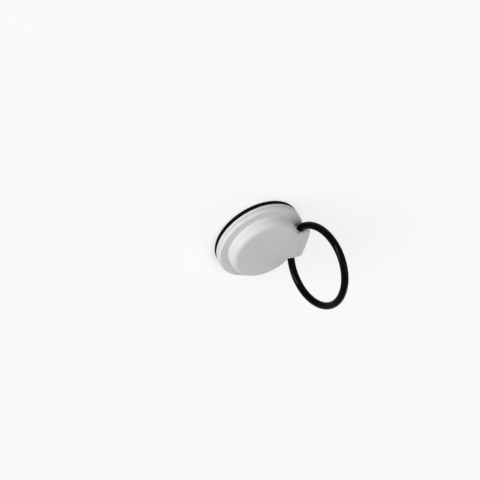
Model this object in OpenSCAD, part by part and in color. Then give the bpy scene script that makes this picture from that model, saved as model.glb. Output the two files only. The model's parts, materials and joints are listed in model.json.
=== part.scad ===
// Stick-on ring holder and stand for a hand-held device.
// A foam pad carries a round base plate. A turntable with a stepped cover turns on the plate,
// and a wire ring swings on an axle that is held between the turntable and the cover's tab.
// The origin is the middle of the pad's sticking face, +Z is the axis the turntable turns on
// and +X points to the tab. All sizes are in millimetres.

/* [Adhesive pad] */
// Thickness of the foam pad
pad_t = 1.65; // [0.8:0.05:2]
// How far the pad's edge stands back from the rim above it
pad_inset = 0.1; // [0:0.05:1]

/* [Ring] */
// Inner diameter of the finger ring
ring_inner_d = 26.9; // [25:0.1:32]
// Diameter of the ring's wire
wire_d = 2.7; // [2.2:0.1:3]
// Radius of the bends beside the axle, to the middle of the wire
bend_r = 1.7; // [1.6:0.1:3.5]
// Angle between the raised ring and the disc's plane, on the tab's outer side
ring_tilt = 80.5; // [60:0.5:90]
// Gap between the folded ring and the ledge below it
ring_lift = 0.3; // [0.3:0.05:1.5]
// Gap between the folded ring and the tier it lies round
ring_gap = 0.3; // [0.3:0.05:0.8]
// How far the disc reaches past the folded ring
ledge_margin = 0.35; // [0.2:0.05:1.5]

/* [Base plate and turntable] */
// Thickness of the base plate
plate_t = 1.2; // [0.8:0.1:1.6]
// Gap that parts the turntable from the base plate
swivel_gap = 0.12; // [0.1:0.02:0.2]
// Thickness of the turntable's floor
flange_t = 1.6; // [1.5:0.02:2.6]
// Rounding of the turntable's upper rim
flange_round = 0.6; // [0.2:0.05:0.8]
// Rounding of the small rims at the parting line
rim_round = 0.18; // [0.1:0.02:0.3]
// Radius of the hub that the turntable turns on
hub_r = 4.6; // [4.4:0.1:5]
// Running clearance of the turntable on the hub, on the radius
journal_clear = 0.05; // [0.02:0.01:0.08]

/* [Cover] */
// Wall of the cover
wall = 1.3; // [1:0.1:1.6]
// Thickness of the cover's roof
roof_t = 1.2; // [1.1:0.05:2]
// Rounding where the tier's wall meets the flat face
tier_round = 1.75; // [0.4:0.05:1.9]
// Rounding in the corner between the ledge and the tier
foot_round = 0.25; // [0.1:0.05:0.3]
// Width of the tab that holds the axle
tab_w = 12.4; // [10:0.1:13]
// Material of the tab in front of the axle
tab_nose = 2.5; // [1.5:0.1:3.2]
// Rounding of the tab's upper side edges
tab_round = 0.7; // [0.3:0.1:1.1]
// Radius of the nose's slightly bowed front, seen from above
nose_r = 60; // [30:1:90]
// Rounding of the tab's front corners, seen from above
nose_round = 1; // [0.4:0.1:1.5]
// How far the tab's top falls between the flat face and the nose
nose_drop = 0.7; // [0.2:0.1:0.9]
// Clearance of the axle in its seats, on the radius
axle_clear = 0.05; // [0.02:0.01:0.08]
// Play between the tab's sides and the ring's bends
axle_play = 0.1; // [0.05:0.05:0.5]

/* [Fasteners] */
// Radius of the pivot screw's shank
pivot_r = 1; // [0.8:0.1:1.2]
// Radius of the pivot screw's head
pivot_head_r = 2.1; // [2:0.1:2.4]
// Height of the pivot screw's head
pivot_head_h = 0.9; // [0.8:0.1:1]
// Thickness of the flat washer
washer_t = 0.3; // [0.2:0.1:0.5]
// Height of the dished spring washer
dish_h = 0.45; // [0.4:0.05:0.6]
// Sheet thickness of the dished spring washer
dish_t = 0.2; // [0.15:0.05:0.3]
// Radius of the cover screws' shanks
screw_r = 0.62; // [0.5:0.02:0.7]
// Radius of the cover screws' heads
screw_head_r = 1.35; // [1.2:0.05:1.5]
// Height of the cover screws' heads
screw_head_h = 0.7; // [0.6:0.05:0.8]
// Number of cover screws
screw_count = 4; // [3:1:6]
// Radius of the circle that the cover screws stand on
screw_circle_r = 8.3; // [8.2:0.1:8.6]
// Sheet thickness of the leaf spring under the axle
leaf_t = 0.25; // [0.15:0.05:0.3]
// Width of the leaf spring
leaf_w = 2.2; // [1.6:0.1:2.4]
// Depth of the pocket under the axle that the leaf spring lies in
leaf_pocket = 0.8; // [0.6:0.05:0.9]

/* [Hidden] */
$fn = 96;
// Overlap of a cut past the face it opens
cut = 1;
// Clearance of a screw in the hole that it bites or passes, on the radius
thread_clear = 0.03;
pass_clear = 0.15;
// Clearance between moulded pieces that locate each other
locate_clear = 0.08;
// Gap from a screw's head or a seat to what must not touch it
head_gap = 0.3;
// How much thicker the wire is in its bends, and how far its other stretches enter them
bend_swell = 0.025;
bend_entry = 0.2;

wire_r = wire_d / 2;
ring_r = ring_inner_d / 2 + wire_r;
tier_r = ring_inner_d / 2 - ring_gap;
disc_r = ring_inner_d / 2 + wire_d + ledge_margin;
pad_r = disc_r - pad_inset;

// The straight axle ends just outside the tab, and each bend then runs tangent into the round.
// The axle lies where the folded ring comes to lie round the disc's own axis.
axle_half = tab_w / 2 + axle_play;
bend_in = sqrt(pow(ring_r - bend_r, 2) - pow(axle_half, 2));
bend_a = atan2(axle_half, bend_in);
hinge_x = bend_r + bend_in;

plate_z = pad_t;
plate_top = plate_z + plate_t;
floor_z = plate_top + swivel_gap;
ledge_z = floor_z + flange_t;
hinge_z = ledge_z + ring_lift + wire_r;
seat_r = wire_r + axle_clear;
ceiling_z = hinge_z + seat_r;
face_z = ceiling_z + roof_t;

// The pivot screw's stack, from the pad upwards
pivot_head_z = plate_z + head_gap;
washer_z = pivot_head_z + pivot_head_h;
dish_z = washer_z + washer_t;
hub_roof_z = dish_z + dish_h;
hub_roof_t = 1;
hub_z = hub_roof_z + hub_roof_t;
post_z = hub_z + swivel_gap;
recess_r = pivot_head_r + 0.9;
washer_r = pivot_head_r + 0.6;
pivot_post_r = pivot_r + 1.5;
pivot_bite = 2;

// The cover screws, which go up through the turntable into the cover's posts
screw_seat_z = floor_z + head_gap + screw_head_h;
boss_r = screw_head_r + 0.6;
boss_z = ledge_z + 1;
screw_post_r = screw_r + 1.1;
screw_bite = 1.8;
screw_turn = 180 / screw_count;
rib_t = 0.9;
rib_h = 1.2;

tab_reach = hinge_x + seat_r + tab_nose;
nose_axis_x = tab_reach - nose_r;
slope_x = tier_r - tier_round / 2;
tab_inner_w = tab_w - 2 * wall;
cavity_r = tier_r - wall;

// What is left of a square corner at the origin, in the quarter x < 0, y < 0, once it is rounded
module corner_waste(r) {
    difference() {
        translate([-r, -r]) square(r + cut);
        translate([-r, -r]) circle(r);
        translate([-r - cut, -r]) square([cut, r + 2 * cut]);
    }
}

// A half section of a round plate from z0 to z1, with its lower and upper rims rounded
module plate_section(r, z0, z1, low, high) {
    difference() {
        translate([0, z0]) square([r, z1 - z0]);
        translate([r, z1]) corner_waste(high);
        translate([r, z0]) mirror([0, 1]) corner_waste(low);
    }
}

module tube_along_y(r, half) {
    rotate([90, 0, 0]) cylinder(h = 2 * half, r = r, center = true);
}

module around_screws() {
    for (i = [0 : screw_count - 1]) {
        rotate([0, 0, screw_turn + i * 360 / screw_count]) translate([screw_circle_r, 0, 0]) children();
    }
}

// Crossed slots that a screwdriver turns a head by, cut upwards from z = 0
module cross_slots(length, width, depth) {
    for (turn = [0, 90]) {
        rotate([0, 0, turn]) translate([-length / 2, -width / 2, -cut]) cube([length, width, depth + cut]);
    }
}

module adhesive_pad() {
    color([0.04, 0.04, 0.045]) cylinder(h = pad_t, r = pad_r);
}

// A thin round plate with a hollow hub: the hub's outside is the journal that the turntable
// runs on, and its inside hides the pivot screw's head and washers
module base_plate() {
    hub_chamfer = 0.3;
    color([0.93, 0.93, 0.94]) difference() {
        union() {
            rotate_extrude() plate_section(disc_r, plate_z, plate_top, rim_round, rim_round);
            rotate_extrude() polygon([
                [0, plate_z + plate_t / 2], [hub_r, plate_z + plate_t / 2],
                [hub_r, hub_z - hub_chamfer], [hub_r - hub_chamfer, hub_z], [0, hub_z]
            ]);
        }
        translate([0, 0, plate_z - cut]) cylinder(h = hub_roof_z - plate_z + cut, r = recess_r);
        translate([0, 0, hub_roof_z - cut]) cylinder(h = hub_roof_t + 2 * cut, r = pivot_r + pass_clear);
    }
}

// The lower half of the turning body: the ledge, the bore that runs on the hub, a rim that
// centres the cover, bosses for the cover screws and two cheeks that close the axle's seats
module turntable() {
    rim_t = 0.9;
    rim_h = 1;
    underside_relief = 0.2;
    land_w = 1.6;
    journal_r = hub_r + journal_clear;
    color([0.93, 0.93, 0.94]) difference() {
        union() {
            rotate_extrude() plate_section(disc_r, floor_z, ledge_z, rim_round, flange_round);
            difference() {
                cylinder_between(cavity_r - locate_clear, ledge_z - flange_t / 2, ledge_z + rim_h);
                cylinder_between(cavity_r - locate_clear - rim_t, ledge_z, ledge_z + rim_h + cut);
                translate([0, -tab_w / 2, ledge_z]) cube([disc_r, tab_w, rim_h + cut]);
            }
            around_screws() cylinder_between(boss_r, ledge_z - flange_t / 2, boss_z);
            axle_cheeks();
        }
        cylinder_between(journal_r, floor_z - cut, hub_z + cut);
        difference() {
            cylinder_between(disc_r - land_w, floor_z - cut, floor_z + underside_relief);
            cylinder_between(journal_r + land_w, floor_z - 2 * cut, floor_z + cut);
        }
        around_screws() cylinder_between(screw_r + pass_clear, floor_z - cut, boss_z + cut);
        around_screws() cylinder_between(screw_head_r + pass_clear, floor_z - cut, screw_seat_z);
        leaf_pocket_cut();
    }
}

module cylinder_between(r, z0, z1) {
    translate([0, 0, z0]) cylinder(h = z1 - z0, r = r);
}

// Two cheeks that stand up into the slots of the tab's sides, hollowed to the axle
module axle_cheeks() {
    cheek_w = 2 * (seat_r - locate_clear);
    cheek_t = wall - locate_clear;
    cheek_y = (tab_w - wall - locate_clear) / 2;
    cheek_z = ledge_z - flange_t / 4;
    saddle_drop = 0.55 * wire_r;
    for (side = [-1, 1]) {
        difference() {
            translate([hinge_x - cheek_w / 2, side * cheek_y - cheek_t / 2, cheek_z])
                cube([cheek_w, cheek_t, hinge_z - saddle_drop - cheek_z]);
            translate([hinge_x, 0, hinge_z]) tube_along_y(seat_r, tab_w / 2 + cut);
        }
    }
}

// The hollow in the turntable's floor that keeps the leaf spring under the axle
module leaf_pocket_cut() {
    pocket_w = leaf_w + 2 * locate_clear;
    translate([hinge_x - pocket_w / 2, -tab_inner_w / 2, ledge_z - leaf_pocket])
        cube([pocket_w, tab_inner_w, leaf_pocket + cut]);
}

// The tab's outside: a bowed nose whose top slopes down from the flat face, cut to the tab's
// width by a prism with rounded upper edges, and with its two front corners rounded
module tab_block() {
    difference() {
        intersection() {
            translate([nose_axis_x, 0, 0]) rotate_extrude() intersection() {
                plate_section(nose_r, ledge_z, face_z, 0, tier_round);
                polygon([
                    [0, ledge_z], [nose_r, ledge_z], [nose_r, face_z - nose_drop],
                    [slope_x - nose_axis_x, face_z], [0, face_z]
                ]);
            }
            translate([tier_r / 2, 0, 0]) rotate([90, 0, 90]) linear_extrude(tab_reach) difference() {
                translate([-tab_w / 2, ledge_z]) square([tab_w, face_z - ledge_z]);
                for (side = [0, 1]) {
                    mirror([side, 0]) translate([tab_w / 2, face_z]) corner_waste(tab_round);
                }
            }
        }
        for (side = [0, 1]) {
            mirror([0, side, 0]) translate([nose_axis_x, 0, ledge_z - cut])
                linear_extrude(face_z) nose_corner_waste();
        }
    }
}

// What is left of the corner between the nose's arc and the tab's side once it is rounded, with
// the arc's centre at the origin
module nose_corner_waste() {
    middle_y = tab_w / 2 - nose_round;
    middle_x = sqrt(pow(nose_r - nose_round, 2) - pow(middle_y, 2));
    out = (nose_r + cut) / (nose_r - nose_round);
    difference() {
        polygon([
            [middle_x, middle_y], [middle_x * out, middle_y * out],
            [middle_x * out, middle_y * out + nose_round + cut], [middle_x, middle_y + nose_round + cut]
        ]);
        translate([middle_x, middle_y]) circle(nose_round);
    }
}

// The upper half of the turning body: the tier with its flat face, the tab over the axle,
// posts that take the screws, and ribs that tie the posts to the wall
module cover() {
    color([0.95, 0.95, 0.96]) difference() {
        union() {
            difference() {
                union() {
                    rotate_extrude() plate_section(tier_r, ledge_z, face_z, 0, tier_round);
                    rotate_extrude() foot_section();
                    tab_block();
                }
                cylinder_between(cavity_r, ledge_z - cut, ceiling_z);
                tab_cavity();
            }
            cylinder_between(pivot_post_r, post_z, ceiling_z + roof_t / 2);
            around_screws() cylinder_between(screw_post_r, boss_z, ceiling_z + roof_t / 2);
            ribs();
        }
        cylinder_between(pivot_r + thread_clear, post_z - cut, post_z + pivot_bite + head_gap);
        around_screws() cylinder_between(screw_r + thread_clear, boss_z - cut, boss_z + screw_bite + head_gap);
        axle_slot();
    }
}

// The small hollow rounding at the tier's foot, as a half section
module foot_section() {
    difference() {
        translate([tier_r - foot_round, ledge_z]) square([2 * foot_round, foot_round]);
        translate([tier_r + foot_round, ledge_z + foot_round]) circle(foot_round);
    }
}

module tab_cavity() {
    translate([0, 0, ledge_z - cut]) linear_extrude(ceiling_z - ledge_z + cut) intersection() {
        circle(tab_reach - wall);
        translate([0, -tab_inner_w / 2]) square([tab_reach, tab_inner_w]);
    }
}

// Round at the top for the axle and open at the bottom, so that the axle drops in from below
module axle_slot() {
    translate([hinge_x, 0, hinge_z]) tube_along_y(seat_r, tab_w / 2 + cut);
    translate([hinge_x - seat_r, -tab_w / 2 - cut, ledge_z - cut])
        cube([2 * seat_r, tab_w + 2 * cut, hinge_z - ledge_z + cut]);
}

module ribs() {
    for (i = [0 : screw_count - 1]) {
        rotate([0, 0, screw_turn + i * 360 / screw_count])
            translate([pivot_post_r / 2, -rib_t / 2, ceiling_z - rib_h])
                cube([cavity_r + wall / 2 - pivot_post_r / 2, rib_t, rib_h + roof_t / 2]);
    }
}

// One wire: a straight axle, two bends and the large round. It is drawn lying outward from the
// hinge and then raised.
module ring() {
    round_a = 180 - bend_a + bend_entry / ring_r * 180 / PI;
    color([0.03, 0.03, 0.035]) translate([hinge_x, 0, hinge_z]) rotate([0, -ring_tilt, 0]) {
        tube_along_y(wire_r, axle_half + bend_entry);
        translate([hinge_x, 0, 0]) wire_arc(ring_r, wire_r, -round_a, round_a);
        translate([bend_r, axle_half, 0]) wire_arc(bend_r, wire_r + bend_swell, 180 - bend_a, 180);
        translate([bend_r, -axle_half, 0]) wire_arc(bend_r, wire_r + bend_swell, 180, 180 + bend_a);
    }
}

// A stretch of round wire bent to radius r, from one angle to another
module wire_arc(r, thick, from, to) {
    rotate([0, 0, from]) rotate_extrude(angle = to - from) translate([r, 0]) circle(thick);
}

// A bowed steel strip in the turntable's pocket that bears on the axle and holds the ring's angle
module axle_spring() {
    leaf_half = tab_inner_w / 2 - head_gap;
    leaf_z = ledge_z - leaf_pocket;
    leaf_rise = hinge_z - seat_r - leaf_t - leaf_z;
    leaf_r = (leaf_half * leaf_half + leaf_rise * leaf_rise) / (2 * leaf_rise);
    color([0.72, 0.73, 0.75]) intersection() {
        translate([hinge_x, 0, leaf_z + leaf_rise - leaf_r]) rotate([0, 90, 0]) difference() {
            cylinder(h = leaf_w, r = leaf_r + leaf_t, center = true, $fn = 360);
            cylinder(h = leaf_w + cut, r = leaf_r, center = true, $fn = 360);
        }
        translate([hinge_x - leaf_w, -leaf_half, leaf_z - cut])
            cube([2 * leaf_w, 2 * leaf_half, cut + hinge_z - leaf_z]);
    }
}

module pivot_screw() {
    color([0.72, 0.73, 0.75]) difference() {
        union() {
            rotate_extrude() plate_section(pivot_head_r, pivot_head_z, washer_z, rim_round, 0);
            cylinder_between(pivot_r, washer_z - pivot_head_h / 2, post_z + pivot_bite);
        }
        translate([0, 0, pivot_head_z]) cross_slots(1.3 * pivot_head_r, 0.45, pivot_head_h / 2);
    }
}

module pivot_washer() {
    color([0.8, 0.8, 0.82]) difference() {
        cylinder_between(washer_r, washer_z, dish_z);
        cylinder_between(pivot_r + pass_clear, washer_z - cut, dish_z + cut);
    }
}

// A dished washer that presses the turntable down, so that it turns with a light drag
module dish_washer() {
    hole_r = pivot_r + pass_clear;
    color([0.72, 0.73, 0.75]) rotate_extrude() polygon([
        [hole_r, hub_roof_z - dish_t], [hole_r, hub_roof_z],
        [washer_r, dish_z + dish_t], [washer_r, dish_z]
    ]);
}

module cover_screws() {
    color([0.72, 0.73, 0.75]) around_screws() {
        difference() {
            rotate_extrude() plate_section(screw_head_r, screw_seat_z - screw_head_h, screw_seat_z, rim_round, 0);
            translate([0, 0, screw_seat_z - screw_head_h]) cross_slots(1.3 * screw_head_r, 0.35, screw_head_h / 2);
        }
        cylinder_between(screw_r, screw_seat_z - screw_head_h / 4, boss_z + screw_bite);
    }
}

adhesive_pad();
base_plate();
turntable();
cover();
ring();
axle_spring();
pivot_screw();
pivot_washer();
dish_washer();
cover_screws();
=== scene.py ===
"""Dresses a stick-on ring holder: white moulded disc, black foam pad and gloss black wire ring."""

import json
import math

import bmesh
import bpy
from bpy.props import FloatProperty, FloatVectorProperty, PointerProperty
from mathutils import Matrix, Quaternion, Vector


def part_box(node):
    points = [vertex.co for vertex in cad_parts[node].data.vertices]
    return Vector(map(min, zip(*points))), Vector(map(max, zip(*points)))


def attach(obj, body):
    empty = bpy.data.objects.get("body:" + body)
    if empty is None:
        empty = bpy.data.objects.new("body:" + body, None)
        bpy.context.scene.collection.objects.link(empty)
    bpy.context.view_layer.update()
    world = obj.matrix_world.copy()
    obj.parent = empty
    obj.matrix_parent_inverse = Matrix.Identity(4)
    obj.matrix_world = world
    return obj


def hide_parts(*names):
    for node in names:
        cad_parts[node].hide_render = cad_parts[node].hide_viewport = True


bl_info = {
    "name": "Ring Holder",
    "version": (1, 0, 0),
    "blender": (4, 5, 0),
    "location": "View3D > Sidebar > Ring Holder",
    "description": "Builds the finish of a stick-on ring holder around its packed frame",
    "category": "Object",
}

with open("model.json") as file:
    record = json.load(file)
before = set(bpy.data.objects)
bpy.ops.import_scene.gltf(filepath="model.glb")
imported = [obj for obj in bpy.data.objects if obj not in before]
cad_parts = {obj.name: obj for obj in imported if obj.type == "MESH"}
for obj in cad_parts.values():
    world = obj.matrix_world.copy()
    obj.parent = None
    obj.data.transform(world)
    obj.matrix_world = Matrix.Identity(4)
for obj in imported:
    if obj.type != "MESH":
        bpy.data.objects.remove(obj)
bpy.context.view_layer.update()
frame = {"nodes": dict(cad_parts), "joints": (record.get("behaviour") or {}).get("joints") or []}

# Places that come from the frame, in metres
PAD_LOW, PAD_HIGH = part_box("adhesive_pad")
RING_LOW, RING_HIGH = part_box("ring")
COVER_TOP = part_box("cover")[1].z
HINGE = next(joint for joint in frame["joints"] if joint["name"] == "ring_fold")
HINGE_PLACE = Vector(HINGE["pos_m"])
HINGE_RISE = math.radians(HINGE["range_deg"][1])

WHITE_NODES = ("base_plate", "turntable", "cover")
STEEL_NODES = ("axle_spring", "pivot_screw", "pivot_washer", "dish_washer", "cover_screws")

# How finely the round shapes are cut, and how close points must lie to be merged
WIRE_SIDES = 32
BEND_STEPS = 24
ROUND_STEPS = 256
PAD_SIDES = 192
PAD_EDGE_STEPS = 4
MERGE_REACH = 1e-7

# Colours of the wear and dirt, where the white plastic's corner grey is dirt and painted shade
# together, and the tint of the gloss on the coated wire
DUST_AND_SHADE = (0.55, 0.54, 0.52)
FOAM_DUST = (0.02, 0.02, 0.02)
SCUFF = (0.03, 0.03, 0.03)
COATING_TINT = (0.72, 0.82, 1.0, 1.0)

# The stage: the floor lies just under the pad, so that the two faces don't share a plane
FLOOR_DROP = 0.00002
FLOOR_REACH = 6.0
SKY_COLOUR = (0.97, 1.0, 0.99, 1.0)
SENSOR_WIDTH = 36.0

# Each lamp's turn from +X and its rise from the pad's plane in degrees, its width and its height
LAMP_DISTANCE = 3.0
LAMPS = {
    "key": (164.0, 9.0, 2.4, 0.44),
    "fill": (-35.0, 24.0, 1.2, 1.2),
    "top": (60.0, 60.0, 1.8, 1.8),
}


class RingSizes(bpy.types.PropertyGroup):
    """Sizes and colour of the wire ring."""

    wire: FloatProperty(
        name="Wire diameter",
        description="Thickness of the coated wire",
        default=0.0027,
        unit="LENGTH",
        precision=4,
    )
    bend: FloatProperty(
        name="Bend radius",
        description="Radius of the two bends beside the axle, to the middle of the wire",
        default=0.0017,
        unit="LENGTH",
        precision=4,
    )
    axle: FloatProperty(
        name="Axle length",
        description="Length of the straight stretch that runs through the tab",
        default=0.0126,
        unit="LENGTH",
        precision=4,
    )
    colour: FloatVectorProperty(
        name="Coating colour",
        description="Colour of the gloss coating on the wire",
        subtype="COLOR",
        size=3,
        default=(0.0004, 0.0006, 0.0013),
    )


class PadSizes(bpy.types.PropertyGroup):
    """Sizes and colour of the adhesive pad."""

    film: FloatProperty(
        name="Film thickness",
        description="Thickness of the adhesive film on each face of the foam",
        default=0.00012,
        unit="LENGTH",
        precision=5,
    )
    bulge: FloatProperty(
        name="Squeezed edge",
        description="How far the foam's edge draws in at its films, so that its middle bulges",
        default=0.00018,
        unit="LENGTH",
        precision=5,
    )
    colour: FloatVectorProperty(
        name="Foam colour",
        description="Colour of the dense foam",
        subtype="COLOR",
        size=3,
        default=(0.0025, 0.0025, 0.003),
    )


class BodyFinish(bpy.types.PropertyGroup):
    """Colour and gloss of the white mouldings and the steel parts."""

    white: FloatVectorProperty(
        name="Plastic colour",
        description="Colour of the white moulded plastic",
        subtype="COLOR",
        size=3,
        default=(0.77, 0.775, 0.775),
    )
    gloss: FloatProperty(
        name="Plastic roughness",
        description="Roughness of the moulded skin, from mirror to matt",
        default=0.54,
        min=0.0,
        max=1.0,
        subtype="FACTOR",
    )
    steel: FloatVectorProperty(
        name="Steel colour",
        description="Colour of the screws, washers and spring",
        subtype="COLOR",
        size=3,
        default=(0.60, 0.61, 0.63),
    )


class StudioSetup(bpy.types.PropertyGroup):
    """Floor, light and camera."""

    floor_colour: FloatVectorProperty(
        name="Floor colour",
        description="Colour of the plain floor",
        subtype="COLOR",
        size=3,
        default=(0.62, 0.62, 0.61),
    )
    floor_glow: FloatProperty(
        name="Floor glow",
        description="Light that only the camera and mirror reflections see on the floor",
        default=0.56,
        min=0.0,
        max=1.0,
        subtype="FACTOR",
    )
    backdrop: FloatProperty(
        name="Backdrop glow",
        description="Brightness of the backdrop that only the camera and mirror reflections see",
        default=0.96,
        min=0.0,
        max=1.0,
        subtype="FACTOR",
    )
    sky: FloatProperty(
        name="Sky strength",
        description="Strength of the even light from all round",
        default=0.34,
        min=0.0,
        max=2.0,
    )
    key: FloatProperty(
        name="Key power",
        description="Power of the wide low lamp",
        default=63.0,
        min=0.0,
        max=500.0,
        unit="POWER",
    )
    fill: FloatProperty(
        name="Fill power",
        description="Power of the lamp that lights the tab's side",
        default=14.0,
        min=0.0,
        max=500.0,
        unit="POWER",
    )
    top: FloatProperty(
        name="Top power",
        description="Power of the lamp that stands high behind the ring",
        default=14.5,
        min=0.0,
        max=500.0,
        unit="POWER",
    )
    azimuth: FloatProperty(
        name="View azimuth",
        description="Direction the camera looks from, turned from the -Y side",
        default=math.radians(215.368),
        subtype="ANGLE",
    )
    elevation: FloatProperty(
        name="View elevation",
        description="Height of the camera above the plane of the pad",
        default=math.radians(35.278),
        subtype="ANGLE",
    )
    roll: FloatProperty(
        name="View roll",
        description="Turn of the camera about its own line of sight",
        default=math.radians(148.329),
        subtype="ANGLE",
    )
    distance: FloatProperty(
        name="View distance",
        description="Distance from the camera to the point it aims at",
        default=0.64788,
        unit="LENGTH",
    )
    aim: FloatVectorProperty(
        name="Aim point",
        description="Point in the plane of the pad that lies in the middle of the picture",
        subtype="XYZ",
        unit="LENGTH",
        size=3,
        default=(-0.00618, -0.00165, 0.0),
        precision=5,
    )
    lens: FloatProperty(
        name="Lens",
        description="Focal length in millimetres on a sensor 36 mm wide",
        default=136.81,
        min=20.0,
        max=400.0,
    )


def new_material(name):
    """A node material, its node tree and its Principled shader."""
    material = bpy.data.materials.new(name)
    material.use_nodes = True
    tree = material.node_tree
    return material, tree, tree.nodes["Principled BSDF"]


def new_group(name, inputs, outputs):
    """An empty shader node group with named sockets, and its input and output nodes."""
    group = bpy.data.node_groups.new(name, "ShaderNodeTree")
    for label, kind, default in inputs:
        socket = group.interface.new_socket(name=label, in_out="INPUT", socket_type=kind)
        if default is not None:
            socket.default_value = default
    for label, kind in outputs:
        group.interface.new_socket(name=label, in_out="OUTPUT", socket_type=kind)
    return group, group.nodes.new("NodeGroupInput"), group.nodes.new("NodeGroupOutput")


def place_group(tree, name, build, values):
    """Places a shared node group, built the first time it is asked for, and sets its inputs."""
    node = tree.nodes.new("ShaderNodeGroup")
    node.node_tree = bpy.data.node_groups.get(name) or build(name)
    for label, value in values.items():
        node.inputs[label].default_value = value
    return node


def math_node(tree, operation, first, second, clamp=False):
    """The output of a Math node whose inputs are sockets or numbers."""
    node = tree.nodes.new("ShaderNodeMath")
    node.operation = operation
    node.use_clamp = clamp
    for socket, value in zip(node.inputs, (first, second)):
        if isinstance(value, (int, float)):
            socket.default_value = value
        else:
            tree.links.new(value, socket)
    return node.outputs[0]


def grain_group(name):
    """Fine moulded or coated grain: a height, and a slow mask that varies colour and gloss."""
    group, inside, outside = new_group(
        name,
        [
            ("Vector", "NodeSocketVector", None),
            ("Grain scale", "NodeSocketFloat", 4000.0),
            ("Cloud scale", "NodeSocketFloat", 180.0),
        ],
        [("Height", "NodeSocketFloat"), ("Cloud", "NodeSocketFloat")],
    )
    fine = group.nodes.new("ShaderNodeTexNoise")
    fine.inputs["Detail"].default_value = 3.0
    fine.inputs["Roughness"].default_value = 0.6
    cloud = group.nodes.new("ShaderNodeTexNoise")
    cloud.inputs["Detail"].default_value = 4.0
    cloud.inputs["Distortion"].default_value = 0.3
    for noise, scale, result in ((fine, "Grain scale", "Height"), (cloud, "Cloud scale", "Cloud")):
        group.links.new(inside.outputs["Vector"], noise.inputs["Vector"])
        group.links.new(inside.outputs[scale], noise.inputs["Scale"])
        group.links.new(noise.outputs["Fac"], outside.inputs[result])
    return group


def edge_wear_group(name):
    """Masks of the edges that hands rub and of the sunken corners, where dirt gathers and where
    shade is painted on the white plastic.
    """
    group, inside, outside = new_group(
        name,
        [
            ("Edge radius", "NodeSocketFloat", 0.0003),
            ("Corner reach", "NodeSocketFloat", 0.001),
            ("Breakup", "NodeSocketFloat", 0.5),
        ],
        [("Edge", "NodeSocketFloat"), ("Corner", "NodeSocketFloat")],
    )
    links = group.links
    bevel = group.nodes.new("ShaderNodeBevel")
    bevel.samples = 4
    links.new(inside.outputs["Edge radius"], bevel.inputs["Radius"])
    plain = group.nodes.new("ShaderNodeNewGeometry")
    across = group.nodes.new("ShaderNodeVectorMath")
    across.operation = "DOT_PRODUCT"
    links.new(bevel.outputs["Normal"], across.inputs[0])
    links.new(plain.outputs["Normal"], across.inputs[1])
    turned = math_node(group, "SUBTRACT", 1.0, across.outputs["Value"], clamp=True)
    strong = math_node(group, "MULTIPLY", turned, 6.0, clamp=True)
    hidden = group.nodes.new("ShaderNodeAmbientOcclusion")
    hidden.samples = 6
    links.new(inside.outputs["Corner reach"], hidden.inputs["Distance"])
    deep = math_node(group, "SUBTRACT", 1.0, hidden.outputs["AO"], clamp=True)
    sunk = math_node(group, "MULTIPLY", deep, 2.0)
    raised = math_node(group, "SUBTRACT", strong, sunk, clamp=True)
    broken = math_node(group, "MULTIPLY", raised, inside.outputs["Breakup"])
    links.new(broken, outside.inputs["Edge"])
    links.new(deep, outside.inputs["Corner"])
    return group


def surface_masks(tree, grain_scale, cloud_scale, edge_radius, corner_reach):
    """The grain group on Object coordinates and the edge group, placed in a material."""
    grain = place_group(
        tree, "Surface Grain", grain_group, {"Grain scale": grain_scale, "Cloud scale": cloud_scale}
    )
    wear = place_group(
        tree,
        "Edge Wear",
        edge_wear_group,
        {"Edge radius": edge_radius, "Corner reach": corner_reach},
    )
    tree.links.new(object_coordinates(tree), grain.inputs["Vector"])
    tree.links.new(grain.outputs["Cloud"], wear.inputs["Breakup"])
    return grain, wear


def object_coordinates(tree):
    """The place of a point on its own object."""
    return tree.nodes.new("ShaderNodeTexCoord").outputs["Object"]


def mix_colours(tree, mask, first, second):
    """A colour that goes from the first to the second as the mask goes from 0 to 1."""
    mix = tree.nodes.new("ShaderNodeMix")
    mix.data_type = "RGBA"
    tree.links.new(mask, mix.inputs["Factor"])
    for socket, colour in ((mix.inputs["A"], first), (mix.inputs["B"], second)):
        if isinstance(colour, bpy.types.NodeSocket):
            tree.links.new(colour, socket)
        else:
            socket.default_value = (*colour, 1.0)
    return mix.outputs["Result"]


def ramp(tree, mask, low, high):
    """A number that goes from low to high as the mask goes from 0 to 1."""
    node = tree.nodes.new("ShaderNodeMapRange")
    node.inputs["To Min"].default_value = low
    node.inputs["To Max"].default_value = high
    tree.links.new(mask, node.inputs["Value"])
    return node.outputs["Result"]


def add_bump(tree, shader, height, distance):
    """Raises the surface by a height that goes from 0 to 1 over the distance in metres."""
    bump = tree.nodes.new("ShaderNodeBump")
    bump.inputs["Distance"].default_value = distance
    bump.inputs["Strength"].default_value = 1.0
    tree.links.new(height, bump.inputs["Height"])
    tree.links.new(bump.outputs["Normal"], shader.inputs["Normal"])


def shade(colour, factor):
    """A colour made lighter or darker."""
    return tuple(min(1.0, channel * factor) for channel in colour)


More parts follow.
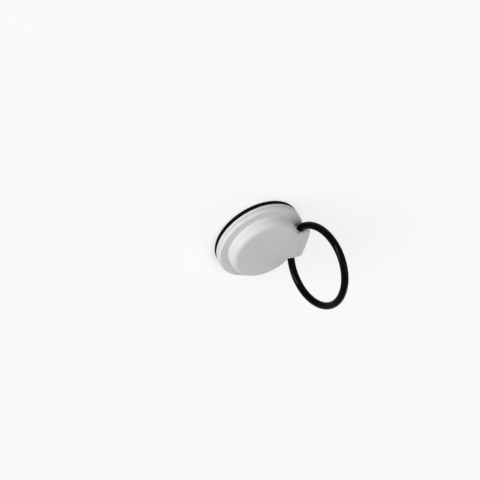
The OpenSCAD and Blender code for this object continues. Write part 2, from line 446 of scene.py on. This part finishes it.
def white_plastic_material(colour, roughness):
    """Satin white moulded plastic with a fine skin, faint clouds, and corners greyed by dirt and by
    painted shade.
    """
    material, tree, shader = new_material("White Moulded Plastic")
    grain, wear = surface_masks(
        tree, grain_scale=5200.0, cloud_scale=140.0, edge_radius=0.00025, corner_reach=0.0012
    )
    cloud = grain.outputs["Cloud"]
    clouded = mix_colours(tree, cloud, shade(colour, 0.975), shade(colour, 1.02))
    # Painted shade: the sunken corners are greyed, partly as dirt and partly as the shade that
    # falls there.
    dust_and_shade = math_node(tree, "MULTIPLY", wear.outputs["Corner"], 0.18)
    dusted_and_shaded = mix_colours(tree, dust_and_shade, clouded, DUST_AND_SHADE)
    tree.links.new(dusted_and_shaded, shader.inputs["Base Color"])
    cloudy_gloss = ramp(tree, cloud, roughness - 0.05, roughness + 0.06)
    rubbed = math_node(tree, "MULTIPLY", wear.outputs["Edge"], -0.12)
    polished = math_node(tree, "ADD", cloudy_gloss, rubbed, clamp=True)
    tree.links.new(polished, shader.inputs["Roughness"])
    shader.inputs["Specular IOR Level"].default_value = 0.4
    add_bump(tree, shader, grain.outputs["Height"], 0.000006)
    return material


def black_coating_material(colour):
    """Gloss blue-black coating on wire, greyed where it rubs and dull beside the tab."""
    material, tree, shader = new_material("Gloss Black Coating")
    grain, wear = surface_masks(
        tree, grain_scale=1500.0, cloud_scale=260.0, edge_radius=0.0002, corner_reach=0.0008
    )
    cloud = grain.outputs["Cloud"]
    clouded = mix_colours(tree, cloud, shade(colour, 0.7), shade(colour, 1.5))
    rubbed = math_node(tree, "MULTIPLY", wear.outputs["Edge"], 0.3)
    scuffed = mix_colours(tree, rubbed, clouded, SCUFF)
    tree.links.new(scuffed, shader.inputs["Base Color"])
    dust_and_shade = math_node(tree, "MULTIPLY", wear.outputs["Corner"], 0.15)
    dulled = math_node(tree, "ADD", ramp(tree, cloud, 0.08, 0.13), dust_and_shade)
    tree.links.new(dulled, shader.inputs["Roughness"])
    shader.inputs["Specular IOR Level"].default_value = 0.055
    shader.inputs["Specular Tint"].default_value = COATING_TINT
    add_bump(tree, shader, grain.outputs["Height"], 0.000004)
    return material


def foam_material(colour, low, high, film):
    """Dense black foam with closed cells between two glossier adhesive films."""
    material, tree, shader = new_material("Black Adhesive Foam")
    grain, wear = surface_masks(
        tree, grain_scale=2600.0, cloud_scale=300.0, edge_radius=0.0002, corner_reach=0.0006
    )
    cloud = grain.outputs["Cloud"]
    place = object_coordinates(tree)
    axes = tree.nodes.new("ShaderNodeSeparateXYZ")
    tree.links.new(place, axes.inputs[0])
    height = math_node(tree, "SUBTRACT", axes.outputs["Z"], (low + high) / 2)
    from_middle = math_node(tree, "ABSOLUTE", height, 0.0)
    is_film = math_node(tree, "GREATER_THAN", from_middle, (high - low) / 2 - film)
    clouded = mix_colours(tree, cloud, shade(colour, 0.7), shade(colour, 1.5))
    filmed = mix_colours(tree, is_film, clouded, shade(colour, 2.4))
    dust_and_shade = math_node(tree, "MULTIPLY", wear.outputs["Corner"], 0.12)
    dusted_and_shaded = mix_colours(tree, dust_and_shade, filmed, FOAM_DUST)
    tree.links.new(dusted_and_shaded, shader.inputs["Base Color"])
    film_gloss = math_node(tree, "MULTIPLY", is_film, 0.35)
    roughness = math_node(tree, "SUBTRACT", ramp(tree, cloud, 0.72, 0.86), film_gloss)
    tree.links.new(roughness, shader.inputs["Roughness"])
    shader.inputs["Specular IOR Level"].default_value = 0.05
    cells = tree.nodes.new("ShaderNodeTexVoronoi")
    cells.inputs["Scale"].default_value = 5200.0
    tree.links.new(place, cells.inputs["Vector"])
    is_foam = math_node(tree, "SUBTRACT", 1.0, is_film)
    pores = math_node(tree, "MULTIPLY", cells.outputs["Distance"], is_foam)
    add_bump(tree, shader, pores, 0.00003)
    return material


def steel_material(colour):
    """Plain bright steel with a fine grain and darker corners."""
    material, tree, shader = new_material("Bright Steel")
    grain, wear = surface_masks(
        tree, grain_scale=6000.0, cloud_scale=500.0, edge_radius=0.0001, corner_reach=0.0005
    )
    cloud = grain.outputs["Cloud"]
    clouded = mix_colours(tree, cloud, shade(colour, 0.85), shade(colour, 1.1))
    # The steel is darkened where its corners are sunken.
    corner_darkening = math_node(tree, "MULTIPLY", wear.outputs["Corner"], 0.5)
    corner_darkened = mix_colours(tree, corner_darkening, clouded, shade(colour, 0.4))
    tree.links.new(corner_darkened, shader.inputs["Base Color"])
    shader.inputs["Metallic"].default_value = 1.0
    tree.links.new(ramp(tree, cloud, 0.22, 0.4), shader.inputs["Roughness"])
    add_bump(tree, shader, grain.outputs["Height"], 0.000005)
    return material


def seen_rays(tree):
    """1 for the rays that show a surface: the camera's own, and those off or through gloss."""
    rays = tree.nodes.new("ShaderNodeLightPath").outputs
    mirrored = math_node(tree, "MAXIMUM", rays["Is Glossy Ray"], rays["Is Transmission Ray"])
    return math_node(tree, "MAXIMUM", rays["Is Camera Ray"], mirrored)


def floor_material(colour, glow):
    """A plain pale floor that keeps shadows, looks nearly white and is clear from below."""
    material, tree, shader = new_material("Pale Floor")
    shader.inputs["Base Color"].default_value = (*colour, 1.0)
    shader.inputs["Roughness"].default_value = 0.9
    shader.inputs["Specular IOR Level"].default_value = 0.1
    shader.inputs["Emission Color"].default_value = (1.0, 1.0, 1.0, 1.0)
    seen_glow = math_node(tree, "MULTIPLY", seen_rays(tree), glow)
    tree.links.new(seen_glow, shader.inputs["Emission Strength"])
    back = tree.nodes.new("ShaderNodeNewGeometry").outputs["Backfacing"]
    clear = tree.nodes.new("ShaderNodeBsdfTransparent")
    sides = tree.nodes.new("ShaderNodeMixShader")
    tree.links.new(back, sides.inputs["Fac"])
    tree.links.new(shader.outputs["BSDF"], sides.inputs[1])
    tree.links.new(clear.outputs["BSDF"], sides.inputs[2])
    tree.links.new(sides.outputs["Shader"], tree.nodes["Material Output"].inputs["Surface"])
    return material


def add_object(name, data):
    """A new object in the scene."""
    item = bpy.data.objects.new(name, data)
    bpy.context.scene.collection.objects.link(item)
    return item


def mesh_from(name, work, material):
    """The mesh of a finished bmesh, with its material."""
    mesh = bpy.data.meshes.new(name)
    work.to_mesh(mesh)
    work.free()
    mesh.materials.append(material)
    return mesh


def fix_order(items, place):
    """Sorts a bmesh's points or faces by place, because spin and bridge list them in any order."""
    rank = {item: index for index, item in enumerate(sorted(items, key=place))}
    items.sort(key=rank.get)


def add_piece(name, work, body, material, replaced):
    """Makes a smooth shaded piece from a bmesh, which rides on a body and stands for a CAD node."""
    bmesh.ops.remove_doubles(work, verts=work.verts, dist=MERGE_REACH)
    bmesh.ops.recalc_face_normals(work, faces=work.faces)
    fix_order(work.verts, lambda point: tuple(point.co))
    fix_order(work.faces, lambda face: tuple(face.calc_center_median()))
    mesh = mesh_from(name, work, material)
    mesh.shade_smooth()
    piece = add_object(name, mesh)
    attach(piece, body)
    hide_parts(replaced)
    return piece


def spin_wire(work, section, centre, angle, steps):
    """Carries the wire's end section round a centre in the ring's plane and returns the new end."""
    spun = bmesh.ops.spin(
        work,
        geom=section,
        cent=centre,
        axis=(0.0, 0.0, 1.0),
        angle=angle,
        steps=steps,
        use_duplicate=False,
    )
    return [item for item in spun["geom_last"] if not isinstance(item, bmesh.types.BMFace)]


class RingOperator(bpy.types.Operator):
    """Bends the gloss black wire ring: axle, two bends and the large round."""

    bl_idname = "ring_holder.build_ring"
    bl_label = "Build Ring"

    def execute(self, context):
        sizes = context.scene.ring_sizes
        wire_r = sizes.wire / 2
        half = sizes.axle / 2
        ring_r = (RING_HIGH.y - RING_LOW.y) / 2 - wire_r
        bend_in = math.sqrt((ring_r - sizes.bend) ** 2 - half**2)
        bend_angle = math.atan2(half, bend_in)
        work = bmesh.new()
        made = bmesh.ops.create_circle(work, segments=WIRE_SIDES, radius=wire_r)
        upright = Matrix.Rotation(math.pi / 2, 3, "X")
        bmesh.ops.rotate(work, verts=made["verts"], cent=(0, 0, 0), matrix=upright)
        bmesh.ops.translate(work, verts=made["verts"], vec=(0, -half, 0))
        first = list(work.edges)
        section = list(work.verts) + list(work.edges)
        middle = (sizes.bend + bend_in, 0, 0)
        section = spin_wire(work, section, (sizes.bend, -half, 0), bend_angle, BEND_STEPS)
        section = spin_wire(work, section, middle, 2 * (math.pi - bend_angle), ROUND_STEPS)
        section = spin_wire(work, section, (sizes.bend, half, 0), bend_angle, BEND_STEPS)
        last = [item for item in section if isinstance(item, bmesh.types.BMEdge)]
        bmesh.ops.bridge_loops(work, edges=first + last)
        raised = Matrix.Translation(HINGE_PLACE) @ Matrix.Rotation(-HINGE_RISE, 4, "Y")
        bmesh.ops.transform(work, matrix=raised, verts=work.verts)
        coating = black_coating_material(sizes.colour)
        add_piece("wire_ring", work, "ring", coating, "ring")
        return {"FINISHED"}


class PadOperator(bpy.types.Operator):
    """Cuts the foam pad: a disc whose squeezed edge bulges between two adhesive films."""

    bl_idname = "ring_holder.build_pad"
    bl_label = "Build Pad"

    def execute(self, context):
        sizes = context.scene.pad_sizes
        radius = PAD_HIGH.x
        depth = PAD_HIGH.z - PAD_LOW.z
        work = bmesh.new()
        bmesh.ops.create_cone(
            work,
            cap_ends=True,
            segments=PAD_SIDES,
            radius1=radius,
            radius2=radius,
            depth=depth,
            matrix=Matrix.Translation((0, 0, PAD_LOW.z + depth / 2)),
        )
        rim = [edge for edge in work.edges if any(len(face.verts) > 4 for face in edge.link_faces)]
        bmesh.ops.bevel(
            work,
            geom=rim,
            offset=sizes.bulge,
            offset_type="OFFSET",
            segments=PAD_EDGE_STEPS,
            profile=0.5,
            affect="EDGES",
            material=-1,
        )
        foam = foam_material(sizes.colour, PAD_LOW.z, PAD_HIGH.z, sizes.film)
        pad = add_piece("foam_pad", work, "base", foam, "adhesive_pad")
        return {"FINISHED"}


class BodyOperator(bpy.types.Operator):
    """Gives the white mouldings and the steel parts of the frame their finish."""

    bl_idname = "ring_holder.finish_body"
    bl_label = "Finish Body"

    def execute(self, context):
        finish = context.scene.body_finish
        white = white_plastic_material(finish.white, finish.gloss)
        steel = steel_material(finish.steel)
        for names, material in ((WHITE_NODES, white), (STEEL_NODES, steel)):
            for name in names:
                for slot in frame["nodes"][name].material_slots:
                    slot.material = material
        return {"FINISHED"}


class StageOperator(bpy.types.Operator):
    """Sets up the pale floor, the soft light and the camera."""

    bl_idname = "ring_holder.build_stage"
    bl_label = "Build Stage"

    def execute(self, context):
        setup = context.scene.studio_setup
        self.add_floor(setup)
        self.add_sky(context, setup)
        for name in LAMPS:
            self.add_lamp(name, getattr(setup, name))
        self.add_camera(context, setup)
        context.scene.view_settings.view_transform = "Standard"
        return {"FINISHED"}

    def add_floor(self, setup):
        """A large flat floor, just under the pad."""
        work = bmesh.new()
        just_below = Matrix.Translation((0.0, 0.0, PAD_LOW.z - FLOOR_DROP))
        bmesh.ops.create_grid(
            work, x_segments=1, y_segments=1, size=FLOOR_REACH, matrix=just_below
        )
        paint = floor_material(setup.floor_colour, setup.floor_glow)
        add_object("floor", mesh_from("floor", work, paint))

    def add_sky(self, context, setup):
        """Even light from all round, before a backdrop that is nearly white."""
        world = bpy.data.worlds.new("Studio")
        world.use_nodes = True
        tree = world.node_tree
        sky = tree.nodes["Background"]
        sky.inputs["Color"].default_value = SKY_COLOUR
        extra = math_node(tree, "MULTIPLY", seen_rays(tree), setup.backdrop - setup.sky)
        strength = math_node(tree, "ADD", extra, setup.sky)
        tree.links.new(strength, sky.inputs["Strength"])
        context.scene.world = world

    def add_lamp(self, name, power):
        """A large flat lamp that no view shows itself, turned to the middle of the cover."""
        turn, rise, width, height = LAMPS[name]
        level = LAMP_DISTANCE * math.cos(math.radians(rise))
        place = Vector(
            (
                level * math.cos(math.radians(turn)),
                level * math.sin(math.radians(turn)),
                LAMP_DISTANCE * math.sin(math.radians(rise)),
            )
        )
        lamp = bpy.data.lights.new(name, "AREA")
        lamp.shape = "RECTANGLE"
        lamp.size = width
        lamp.size_y = height
        lamp.energy = power
        lamp_object = add_object(name, lamp)
        lamp_object.visible_camera = False
        lamp_object.location = place
        towards = Vector((0.0, 0.0, COVER_TOP)) - place
        lamp_object.rotation_euler = towards.to_track_quat("-Z", "Y").to_euler()

    def add_camera(self, context, setup):
        """The camera at the photograph's viewing angle."""
        level = math.cos(setup.elevation)
        back = Vector(
            (
                math.sin(setup.azimuth) * level,
                -math.cos(setup.azimuth) * level,
                math.sin(setup.elevation),
            )
        )
        lens = bpy.data.cameras.new("camera")
        lens.sensor_width = SENSOR_WIDTH
        lens.lens = setup.lens
        lens.clip_start = 0.01
        lens.clip_end = 20.0
        camera = add_object("camera", lens)
        camera.location = Vector(setup.aim) + back * setup.distance
        level_turn = (-back).to_track_quat("-Z", "Y")
        camera.rotation_mode = "QUATERNION"
        camera.rotation_quaternion = level_turn @ Quaternion((0.0, 0.0, 1.0), setup.roll)
        context.scene.camera = camera


class RingHolderPanel(bpy.types.Panel):
    """Lists the steps that build the ring holder's look."""

    bl_idname = "VIEW3D_PT_ring_holder"
    bl_label = "Ring Holder"
    bl_space_type = "VIEW_3D"
    bl_region_type = "UI"
    bl_category = "Ring Holder"

    def draw(self, context):
        for step in STEPS:
            self.layout.operator(step.bl_idname)


STEPS = (BodyOperator, PadOperator, RingOperator, StageOperator)
SETTINGS = {
    "ring_sizes": RingSizes,
    "pad_sizes": PadSizes,
    "body_finish": BodyFinish,
    "studio_setup": StudioSetup,
}


def register():
    for kind in (*SETTINGS.values(), *STEPS, RingHolderPanel):
        bpy.utils.register_class(kind)
    for name, kind in SETTINGS.items():
        setattr(bpy.types.Scene, name, PointerProperty(type=kind))


def unregister():
    for name in SETTINGS:
        delattr(bpy.types.Scene, name)
    for kind in reversed((*SETTINGS.values(), *STEPS, RingHolderPanel)):
        bpy.utils.unregister_class(kind)


def main():
    register()
    bpy.ops.ring_holder.finish_body()
    bpy.ops.ring_holder.build_pad()
    bpy.ops.ring_holder.build_ring()
    bpy.ops.ring_holder.build_stage()


if __name__ == "__main__":
    main()
